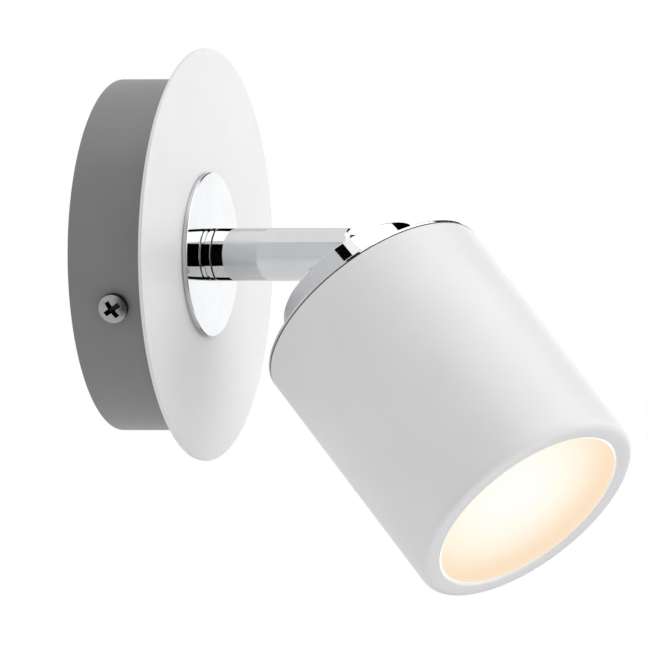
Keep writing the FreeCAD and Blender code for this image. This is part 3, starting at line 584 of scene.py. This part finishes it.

# %% [markdown]
# ## The side screws: head and recess
#
# Two pan-head screws with a cross recess hold the cup on the bracket inside it. A flattened sphere
# would be too round, so the head is turned, with a low dome on a straight edge. The recess is cut with a
# tapered cross, as the punch that forms it is. The recess and the head's low side get a dark second
# finish: painted shade deep in the recess, and painted shadow and reflection on the head's low side.

# %% The screw's shapes
HEAD_RADIUS = 3.55
HEAD_HEIGHT = 2.6
HEAD_EDGE = 0.35
DOME_RISE = 0.7
DOME_STEPS = 10
SHANK_RADIUS = 2.0
SHANK_LENGTH = 8.0
SHANK_EDGE = 0.4
SCREW_TURNS = 96                       # steps round the screw
RECESS_SPAN = 4.6
RECESS_ARM = 1.25
RECESS_DEPTH = 2.0
RECESS_TAPER = 0.7                     # size of the cross at its bottom, as a share
CUTTER_OVERRUN = 0.5                   # how far the cutter stands out of the head
CUTTER_STRAIGHT = 0.1                  # straight part of the cross below the top


def dome_points(radius, low, high, steps=DOME_STEPS):
    """Points of a shallow dome from its rim to its top."""
    rise = high - low
    ball = (radius ** 2 + rise ** 2) / (2 * rise)
    spread = math.asin(radius / ball)
    angles = [spread * (1 - step / steps) for step in range(steps + 1)]
    return [(ball * math.sin(a), high - ball + ball * math.cos(a)) for a in angles]


def cross_cutter(top):
    """A tapered cross that narrows towards the bottom of the recess."""
    made = bmesh.new()
    half_span = RECESS_SPAN / 2
    half_arm = RECESS_ARM / 2
    outline = []
    for quarter in range(4):
        turn = Matrix.Rotation(QUARTER_TURN * quarter, 2)
        for corner in ((half_arm, half_arm), (half_span, half_arm), (half_span, -half_arm)):
            outline.append(turn @ Vector(corner))
    outline = sorted(set((round(p.x, 6), round(p.y, 6)) for p in outline),
                     key=lambda p: (math.atan2(p[1], p[0]), math.hypot(*p)))
    layers = []
    for level, scale in ((top + CUTTER_OVERRUN, 1.0), (top - CUTTER_STRAIGHT, 1.0),
                         (top - RECESS_DEPTH, RECESS_TAPER)):
        layers.append([made.verts.new((x * scale, y * scale, level)) for x, y in outline])
    count = len(outline)
    for lower, upper in zip(layers, layers[1:]):
        for k in range(count):
            made.faces.new([lower[k], lower[(k + 1) % count], upper[(k + 1) % count], upper[k]])
    made.faces.new(layers[0])
    made.faces.new(layers[-1])
    # The recess faces take the second finish, which is painted shade.
    for face in made.faces:
        face.material_index = 1
    bmesh.ops.recalc_face_normals(made, faces=made.faces)
    return made


# Dark zinc used as painted shade in the recess and painted shadow under the head.
painted_shade_recess = plated_metal("zinc_painted_shade_recess", "#2A2A2B", "#363637", 0.4, 0.55)
print("head across and high, in mm:", 2 * HEAD_RADIUS, HEAD_HEIGHT)

# %% [markdown]
# ## Cutting one shape out of another
#
# A boolean modifier takes a cutter's shape out of a piece, as a drill or a punch would. It is applied
# at once, so that what is kept is plain mesh and both helpers can go.

# %% An applied boolean


def cut_away(made, cutter):
    """The bmesh with the cutter's shape taken out of it, by an applied boolean."""
    work = []
    for name, source in (("work", made), ("cutter", cutter)):
        mesh = bpy.data.meshes.new(name)
        source.to_mesh(mesh)
        source.free()
        piece = bpy.data.objects.new(name, mesh)
        bpy.context.scene.collection.objects.link(piece)
        work.append(piece)
    solid, tool = work
    modifier = solid.modifiers.new("cut", "BOOLEAN")
    modifier.operation = "DIFFERENCE"
    modifier.solver = "EXACT"
    modifier.object = tool
    shape = solid.evaluated_get(bpy.context.evaluated_depsgraph_get())
    result = bmesh.new()
    result.from_mesh(shape.to_mesh())
    shape.to_mesh_clear()
    for piece in work:
        bpy.data.objects.remove(piece)
    return result


# %% [markdown]
# ## The side screws in the cup's wall
#
# The screws lie on the bracket's line, one on each side. Nobody lines up the crosses of two screws, so
# each is turned by its own angle.

# %% Both screws
SCREW_LEVEL = 11.4                     # from the wall to the screws' axis
CROSS_TURNS = (33, 12)                 # degrees


def pan_head_screw():
    dome = dome_points(HEAD_RADIUS, HEAD_HEIGHT - DOME_RISE, HEAD_HEIGHT)
    made = spin([(0, -SHANK_LENGTH), (SHANK_RADIUS, -SHANK_LENGTH, SHANK_EDGE), (SHANK_RADIUS, 0),
                 (HEAD_RADIUS, 0, HEAD_EDGE)] + dome, steps=SCREW_TURNS)
    # Faces below the dome take the second finish: painted shadow and reflection on the head's low side.
    for face in made.faces:
        low = face.calc_center_median().z < HEAD_HEIGHT - DOME_RISE
        face.material_index = 1 if low else 0
    bmesh.ops.recalc_face_normals(made, faces=made.faces)
    return cut_away(made, cross_cutter(HEAD_HEIGHT))


cup_radius = reach("base_cup", bracket_axes)[0]
both_screws = bmesh.new()
for side, cross_turn in zip((-1, 1), CROSS_TURNS):
    screw = pan_head_screw()
    seat = Matrix.Translation((side * cup_radius, 0, SCREW_LEVEL))
    facing = seat @ Matrix.Rotation(side * QUARTER_TURN, 4, "Y")
    spun = Matrix.Rotation(math.radians(cross_turn), 4, "Z")
    bmesh.ops.transform(screw, matrix=facing @ spun, verts=screw.verts)
    spare = bpy.data.meshes.new("spare")
    screw.to_mesh(spare)
    screw.free()
    both_screws.from_mesh(spare)
into_place(both_screws, bracket_axes)
keep("side_screws_cut", both_screws, "base", zinc, ["side_screws"], painted_shade_recess)

# %% [markdown]
# ## The arm: a bar with a sawn slot
#
# The arm is a chrome bar with a slot sawn across its end. A boolean would leave long thin faces on the
# round side and spoil the mirror, so the bar is drawn in rings whose points already lie on the slot's
# edges: full rings up to the slot's floor, and two cheeks from there to the end. The slot's walls and
# floor are painted dark, as painted shade inside the slot.

# %% The forked bar
SLOT_WIDTH = 5.0
SLOT_DEPTH = 9.6                       # from the end of the arm to the slot's floor
ARM_BEVEL = 0.3
ROOT_BEVEL = 0.15
CHEEK_STEPS = 96                       # steps round each cheek
GAP_STEPS = 24                         # steps round each stretch between the cheeks
MERGE_MM = 1e-5                        # points closer than this are one


def bar_angles(radius):
    """Angles round the bar: the cheek at +X, the gap, the cheek at -X and the other gap."""
    edge = math.acos(SLOT_WIDTH / 2 / radius)
    cheek = [-edge + 2 * edge * k / CHEEK_STEPS for k in range(CHEEK_STEPS)]
    gap = [edge + (math.pi - 2 * edge) * k / GAP_STEPS for k in range(GAP_STEPS)]
    half = cheek + gap
    return half + [angle + math.pi for angle in half]


def forked_bar(radius, start_level, end_level):
    """The bar in millimetres, from its root to its forked end."""
    made = bmesh.new()
    angles = bar_angles(radius)
    count = len(angles)

    def ring(size, level, members):
        return {k: made.verts.new((size * math.cos(angles[k]), size * math.sin(angles[k]), level))
                for k in members}

    everyone = range(count)
    full = [ring(radius - ROOT_BEVEL, start_level, everyone),
            ring(radius, start_level + ROOT_BEVEL, everyone),
            ring(radius, end_level - SLOT_DEPTH, everyone)]
    for lower, upper in zip(full, full[1:]):
        for k in everyone:
            ahead = (k + 1) % count
            made.faces.new([lower[k], lower[ahead], upper[ahead], upper[k]])
    made.faces.new([full[0][k] for k in reversed(everyone)])

    half = count // 2
    tip_radius = radius - ARM_BEVEL
    for first, sign in ((0, 1), (half, -1)):
        members = [(first + k) % count for k in range(CHEEK_STEPS + 1)]
        base = {k: full[2][k] for k in members}
        straight = ring(radius, end_level - ARM_BEVEL, members)
        tip = {}
        for k in members:
            x = sign * max(sign * tip_radius * math.cos(angles[k]), SLOT_WIDTH / 2)
            tip[k] = made.verts.new((x, tip_radius * math.sin(angles[k]), end_level))
        for lower, upper in ((base, straight), (straight, tip)):
            for k, ahead in zip(members, members[1:]):
                made.faces.new([lower[k], lower[ahead], upper[ahead], upper[k]])
        made.faces.new([tip[k] for k in members])
        start, end = members[0], members[-1]
        # The slot's walls and floor take the second finish, which is painted shade.
        wall = made.faces.new([base[end], base[start], straight[start],
                               tip[start], tip[end], straight[end]])
        wall.material_index = 1
    gap_floor = list(range(CHEEK_STEPS, half + 1)) + list(range(half + CHEEK_STEPS, count)) + [0]
    made.faces.new([full[2][k] for k in gap_floor]).material_index = 1
    bmesh.ops.remove_doubles(made, verts=made.verts, dist=MERGE_MM)
    bmesh.ops.recalc_face_normals(made, faces=made.faces)
    return made


arm_radius, arm_start, arm_end = reach("arm", arm_axes)
bar = forked_bar(arm_radius, arm_start, arm_end)
print("bar from", round(arm_start, 2), "to", round(arm_end, 2), "mm out of the wall")

# %% [markdown]
# ## The arm: the hinge screw's seat
#
# The hinge screw goes in from one side only. Its head lies in a round seat there, which is drilled
# across the bar, and the other side stays plain. Here a boolean is the right tool: the seat is small,
# and its sharp rim crosses the round side in a curve that rings of points can't follow.

# %% Drilling the seat
SEAT_RADIUS = 2.63
SEAT_DEPTH = 2.1
SEAT_TURNS = 64                        # steps round the seat
DRILL_OVERRUN = 1                      # how far the drill stands out of the bar

pivot_level = -hinge.y / MM
seat_floor = arm_radius - SEAT_DEPTH
seat_mouth = arm_radius + DRILL_OVERRUN
drill = spin([(0, seat_floor), (SEAT_RADIUS, seat_floor), (SEAT_RADIUS, seat_mouth), (0, seat_mouth)],
             steps=SEAT_TURNS)
turn_to_side = Matrix.Translation((0, 0, pivot_level)) @ Matrix.Rotation(QUARTER_TURN, 4, "Y")
bmesh.ops.transform(drill, matrix=turn_to_side, verts=drill.verts)
bmesh.ops.recalc_face_normals(drill, faces=drill.faces)
bar = cut_away(bar, drill)
into_place(bar, arm_axes)
# Dark chrome used as painted shade on the slot's walls and floor.
slot_painted_shade = plated_metal("chrome_slot_painted_shade", "#3C3D3F", "#4A4B4D", 0.35, 0.5)
keep("arm_forked", bar, "arm", chrome, ["arm"], slot_painted_shade)

# %% [markdown]
# ## The hinge tongue
#
# A flat tongue stands on the cap and turns in the arm's slot. Its round end is centred on the hinge
# screw. A box and a cylinder could be joined for it, but plate is drawn as an outline that is then given
# its thickness, and that leaves no seam. Its edges are bevelled, as a file breaks them.

# %% The tongue
TONGUE_THICKNESS = 3.6
TONGUE_RADIUS = 4.4
TONGUE_STEPS = 64                      # steps in its round end
TONGUE_EDGE = 0.2
EDGE_STEPS = 3
CAP_STANDOFF = 8.4                     # hinge to the top of the cap
TONGUE_FOOT = 0.8                      # how far it reaches below the cap's top

tongue = bmesh.new()
foot = CAP_STANDOFF + TONGUE_FOOT
outline = [(TONGUE_RADIUS * math.cos(a), -TONGUE_RADIUS * math.sin(a))
           for a in (math.pi * k / TONGUE_STEPS for k in range(TONGUE_STEPS + 1))]
outline += [(-TONGUE_RADIUS, foot), (TONGUE_RADIUS, foot)]
flat = tongue.faces.new([tongue.verts.new((-TONGUE_THICKNESS / 2, y, z)) for y, z in outline])
grown = bmesh.ops.extrude_face_region(tongue, geom=[flat])
far_side = [item for item in grown["geom"] if isinstance(item, bmesh.types.BMVert)]
bmesh.ops.translate(tongue, vec=(TONGUE_THICKNESS, 0, 0), verts=far_side)
bmesh.ops.recalc_face_normals(tongue, faces=tongue.faces)
rims = [edge for edge in tongue.edges if edge.calc_face_angle(0) > SHARP_ANGLE]
bmesh.ops.bevel(tongue, geom=rims, offset=TONGUE_EDGE, segments=EDGE_STEPS, profile=0.5,
                affect="EDGES")
into_place(tongue, head_axes)
keep("hinge_tongue_filed", tongue, "head", chrome, ["hinge_tongue"])

# %% [markdown]
# ## The cap
#
# The cap is a deep-drawn chrome cup that covers the tongue's foot. Its upper edge is turned to a small
# radius, which shows as a bright line between the roof and the side. The section sets that radius
# without changing the cap's height, and leaves the cap hollow.

# %% The chrome cap
CAP_EDGE = 0.45
CAP_WALL = 1.5
CAP_ROOF = 2.2
SEAM_EDGE = 0.12                       # broken edge where two pieces meet

radius, top, rim = reach("cap", head_axes)
turned("cap", [
    (0, top), (radius, top, CAP_EDGE), (radius, rim, SEAM_EDGE), (radius - CAP_WALL, rim),
    (radius - CAP_WALL, top + CAP_ROOF), (0, top + CAP_ROOF),
], head_axes, "head", chrome)

# %% [markdown]
# ## The end plate
#
# A thin chrome plate closes the shade, and its spigot reaches into the tube to centre it. The two are
# turned from one blank, so they are one section here. Between the plate's edge and the tube there is a
# narrow groove, which the eye sees as a dark line.

# %% The plate and its spigot
PLATE_EDGE = 0.3
PLATE_HOLE = 13.0
SPIGOT_WALL = 1.6
SPIGOT_HEIGHT = 5.0
SPIGOT_GAP = 0.3
SHADE_WALL = 1.2
SEAM_GAP = 0.3
SEAM_DEPTH = 0.8

shade_radius, shade_top, shade_end = reach("shade", head_axes)
bore = shade_radius - SHADE_WALL
spigot = bore - SPIGOT_GAP
radius, plate_top, spigot_end = reach("end_plate", head_axes)
plate_back = spigot_end - SPIGOT_HEIGHT
turned("end_plate", [
    (PLATE_HOLE, plate_top), (radius, plate_top, PLATE_EDGE), (radius, plate_back - SEAM_GAP),
    (radius - SEAM_DEPTH, plate_back - SEAM_GAP), (radius - SEAM_DEPTH, plate_back),
    (spigot, plate_back), (spigot, spigot_end), (spigot - SPIGOT_WALL, spigot_end),
    (spigot - SPIGOT_WALL, plate_back), (PLATE_HOLE, plate_back),
], head_axes, "head", chrome)

# %% [markdown]
# ## The shade
#
# The shade is a tube with its end spun inwards to a lip, so its outer edge is round, and the lip's
# inner edge has a small radius too. The lip could be a ring of its own, but then the lacquer's highlight
# would break where it runs over the edge.

# %% The white tube
SHADE_ROUNDING = 2.0
OPENING_RADIUS = 25.5
LIP_THICKNESS = 1.3
LIP_EDGE = 0.4

lip_back = shade_end - LIP_THICKNESS
turned("shade", [
    (bore, shade_top), (shade_radius, shade_top, SEAM_EDGE), (shade_radius, shade_end, SHADE_ROUNDING),
    (OPENING_RADIUS, shade_end, LIP_EDGE), (OPENING_RADIUS, lip_back), (bore, lip_back),
], head_axes, "head", white_lacquer)

# %% [markdown]
# ## The satin glass
#
# The glass is stepped: its rim lies behind the lip, and its middle fills the opening. A flat disc would
# look deeper in the shade than it is, as its face has to come up level with the lip. The front edge is
# ground, which leaves a small arris.

# %% The glass in the opening
GLASS_GAP = 0.3
GLASS_ARRIS = 0.25
GLASS_STEP = 1.4                       # from the rim's front to the middle's front

radius, glass_back, glass_face = reach("satin_glass", head_axes)
middle_radius = OPENING_RADIUS - GLASS_GAP
turned("satin_glass", [
    (0, glass_back), (radius, glass_back), (radius, glass_face - GLASS_STEP),
    (middle_radius, glass_face - GLASS_STEP), (middle_radius, glass_face, GLASS_ARRIS),
    (0, glass_face),
], head_axes, "head", satin_glass)

# %% [markdown]
# ## Who sees the white
#
# The photograph's background is plain white. More light on the object would give that too, but would
# burn out its white lacquer. So the floor and the world are white only where the camera, a mirror or a
# glass looks at them. The Light Path node tells those rays from the ones that light a surface.

# %% A switch for what looks at the background
def seen_directly(tree):
    """1 for a ray from the camera, a mirror or a glass, and 0 for one that gathers light."""
    path = add(tree, "ShaderNodeLightPath")
    seen = path.outputs["Is Camera Ray"]
    for kind in ("Is Glossy Ray", "Is Transmission Ray"):
        seen = add(tree, "ShaderNodeMath", {"operation": "MAXIMUM"},
                   i0=seen, i1=path.outputs[kind]).outputs[0]
    return seen


# %% [markdown]
# ## The floor
#
# The floor is matt studio paper that lies well below the light. It keeps what little shadow falls there,
# and glows faintly to the eye so that it meets the white of the world. A square plane would do, but a
# round one shows no corner from any side.

# %% A round of pale paper
FLOOR_LEVEL = -0.3                     # metres
FLOOR_RADIUS = 3.0                     # metres
FLOOR_TURNS = 96
FLOOR_LIFT = 0.12                      # what the eye, mirrors and glass see on top of its lit paper


def floor_material():
    material, tree, shader = new_material("pale_floor", Base_Color=linear("#F2F2F2"), Roughness=0.8,
                                          Emission_Color=WHITE)
    lift = add(tree, "ShaderNodeMath", {"operation": "MULTIPLY"},
               i0=seen_directly(tree), i1=FLOOR_LIFT)
    tree.links.new(lift.outputs[0], shader.inputs["Emission Strength"])
    return material


disc = bmesh.new()
bmesh.ops.create_circle(disc, cap_ends=True, segments=FLOOR_TURNS, radius=FLOOR_RADIUS)
mesh = bpy.data.meshes.new("floor")
disc.to_mesh(mesh)
disc.free()
mesh.materials.append(floor_material())
floor = bpy.data.objects.new("floor", mesh)
floor.location.z = FLOOR_LEVEL
bpy.context.scene.collection.objects.link(floor)
print("floor across, in metres:", 2 * FLOOR_RADIUS)

# %% [markdown]
# ## The world
#
# A white room lights every side softly. It gives about half of what paper white would, and the soft
# boxes below add the rest with a direction. A picture of a studio could do both, but then the chrome
# would mirror somebody else's room.

# %% White to look at, softer as a light
SOFT_LIGHT = 0.54

world = bpy.data.worlds.new("white_studio")
bpy.context.scene.world = world
world.use_nodes = True
tree = world.node_tree
tree.nodes.clear()
strength = add(tree, "ShaderNodeMapRange", Value=seen_directly(tree), To_Min=SOFT_LIGHT, To_Max=1.0)
background = add(tree, "ShaderNodeBackground", Color=WHITE, Strength=strength.outputs[0])
add(tree, "ShaderNodeOutputWorld", Surface=background.outputs[0])
print("the world's light, with paper white as 1:", SOFT_LIGHT)

# %% [markdown]
# ## Soft boxes
#
# A product photographer lights a white and chrome piece with large soft boxes. Here one hangs overhead,
# one stands in front of the wall, one on the far side and one on the wall's side. Each is an area lamp,
# and its power is worked out from the brightness of its face, because that is what the chrome mirrors.

# %% Four soft boxes


def stand(thing, where, along, facing=None):
    """Stand a flat thing somewhere, its back along facing and its local X along a direction."""
    facing = Vector(facing or where).normalized()
    across = Vector(along)
    across = (across - facing * across.dot(facing)).normalized()
    upward = facing.cross(across)
    thing.matrix_world = Matrix((across, upward, facing)).transposed().to_4x4()
    thing.location = where


def soft_box(name, where, along, width, height, brightness):
    """A soft box in metres whose face has a brightness on the scale where paper white is 1."""
    data = bpy.data.lights.new(name, "AREA")
    data.shape = "RECTANGLE"
    data.size = width
    data.size_y = height
    data.energy = brightness * math.pi * width * height
    lamp = bpy.data.objects.new(name, data)
    bpy.context.scene.collection.objects.link(lamp)
    stand(lamp, where, along)
    print(name, "watts:", round(data.energy, 2))


soft_box("overhead_box", (0.05, -0.27, 0.95), (0.98, -0.15, -0.12), 1.15, 1.0, 1.1)
soft_box("front_box", (0.2, -1.4, 0.35), (1, 0, 0), 1.2, 1.0, 1.6)
soft_box("far_box", (1.2, -0.4, 0.32), (0, 1, 0), 1.6, 0.9, 0.3)
soft_box("wall_side_box", (-0.8, 2.8, 0.12), (1, 0, 0), 3.2, 0.84, 0.8)

# %% [markdown]
# ## Cards for the mirrors
#
# White and chrome on a white ground would vanish without something darker for their sides to mirror.
# Two large grey cards on the wall's side, four black ones and a small white one stand round the light,
# and the chrome then shows a clear band at each turn of its form. A card is seen only by mirroring
# surfaces, and takes no light from the lacquer.

# %% Grey, black and white cards
CARD_GREY = 0.75
BLACK = 0.0
BRIGHT = 1.3
WALL_SIDE = (0, 1, 0)                  # a card that stands level with the wall
TOP_SLANT = (0.523, -0.681, 0.509)     # the line along which the two small top cards lie


def card(name, where, along, width, height, level, facing=None):
    """A card in metres with a brightness of its own, seen only in mirroring surfaces."""
    made = bmesh.new()
    bmesh.ops.create_grid(made, x_segments=1, y_segments=1, size=0.5)
    bmesh.ops.scale(made, vec=(width, height, 1), verts=made.verts)
    mesh = bpy.data.meshes.new(name)
    made.to_mesh(mesh)
    made.free()
    material = bpy.data.materials.new(name)
    material.use_nodes = True
    tree = material.node_tree
    tree.nodes.clear()
    paint = add(tree, "ShaderNodeEmission", Color=WHITE, Strength=level)
    add(tree, "ShaderNodeOutputMaterial", Surface=paint.outputs[0])
    mesh.materials.append(material)
    thing = bpy.data.objects.new(name, mesh)
    bpy.context.scene.collection.objects.link(thing)
    stand(thing, where, along, facing)
    thing.visible_camera = False
    thing.visible_diffuse = False
    thing.visible_transmission = False
    thing.visible_shadow = False
    print(name, "across and high, in metres:", width, height)


card("wall_side_left", (-2.8, 0.6, 0), (1, 0, 0), 3.4, 8.0, CARD_GREY, WALL_SIDE)
card("wall_side_right", (1.8, 0.6, 0), (1, 0, 0), 5.8, 2.2, CARD_GREY, WALL_SIDE)
card("near_side_black", (-0.245, -0.11, -0.01), (0, 1, 0), 0.22, 0.56, BLACK)
card("near_top_black", (-0.64, 0.08, 0.765), TOP_SLANT, 0.24, 0.3, BLACK)
card("near_top_white", (-0.517, -0.063, 0.854), TOP_SLANT, 0.2, 0.3, BRIGHT)
card("far_top_black", (0.774, -0.255, 0.579), (0.624, 0.46, -0.632), 0.62, 0.9, BLACK)
card("far_low_black", (0.22, -0.106, -0.23), (0, 1, 0), 0.3, 0.18, BLACK)

# %% [markdown]
# ## The view transform
#
# The view transform is Standard, so that a colour renders as it is written.

# %% The view transform
bpy.context.scene.view_settings.view_transform = "Standard"
